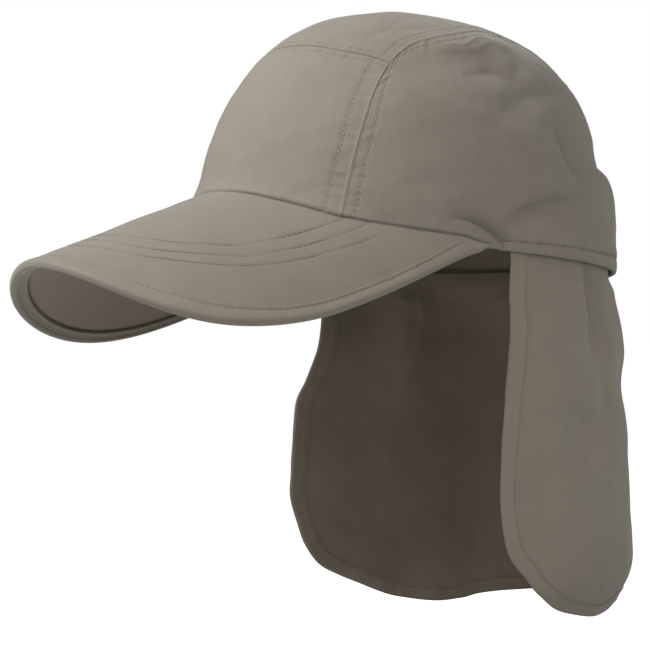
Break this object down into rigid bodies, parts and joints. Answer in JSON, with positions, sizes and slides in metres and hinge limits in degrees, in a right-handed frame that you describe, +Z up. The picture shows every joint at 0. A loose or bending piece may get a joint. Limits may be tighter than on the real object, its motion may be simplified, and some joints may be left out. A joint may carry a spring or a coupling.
{
  "type": "desert cap",
  "caption": "Soft sun cap with a panelled crown, a long rolled bill and a neck flap that shades the ears, cheeks and nape.",
  "frame": {"origin": "middle of the head opening, level with the two ends of the bill, where a head carries the cap", "axes": "+X to the wearer's left, +Y to the back of the head, +Z up through the top of the crown"},
  "size_m": [0.1812, 0.2948, 0.2756],
  "materials": {
    "crown_cloth": "fine plain-woven synthetic cloth with a faint sheen, taupe",
    "bill_cloth": "the same cloth over a stiff board, with rows of stitching",
    "hem_cloth": "the same cloth rolled into a hem",
    "flap_cloth": "the same cloth in one thin layer, matt",
    "band_cloth": "the same cloth folded double and stitched along its edge"
  },
  "bodies": {
    "root": {"front_panel": "crown_cloth", "top_panel": "crown_cloth", "side_panel_left": "crown_cloth", "side_panel_right": "crown_cloth", "rear_hem": "hem_cloth", "bill": "bill_cloth", "bill_edge": "band_cloth", "neck_flap": "flap_cloth", "neck_flap_hem": "band_cloth"}
  },
  "joints": []
}
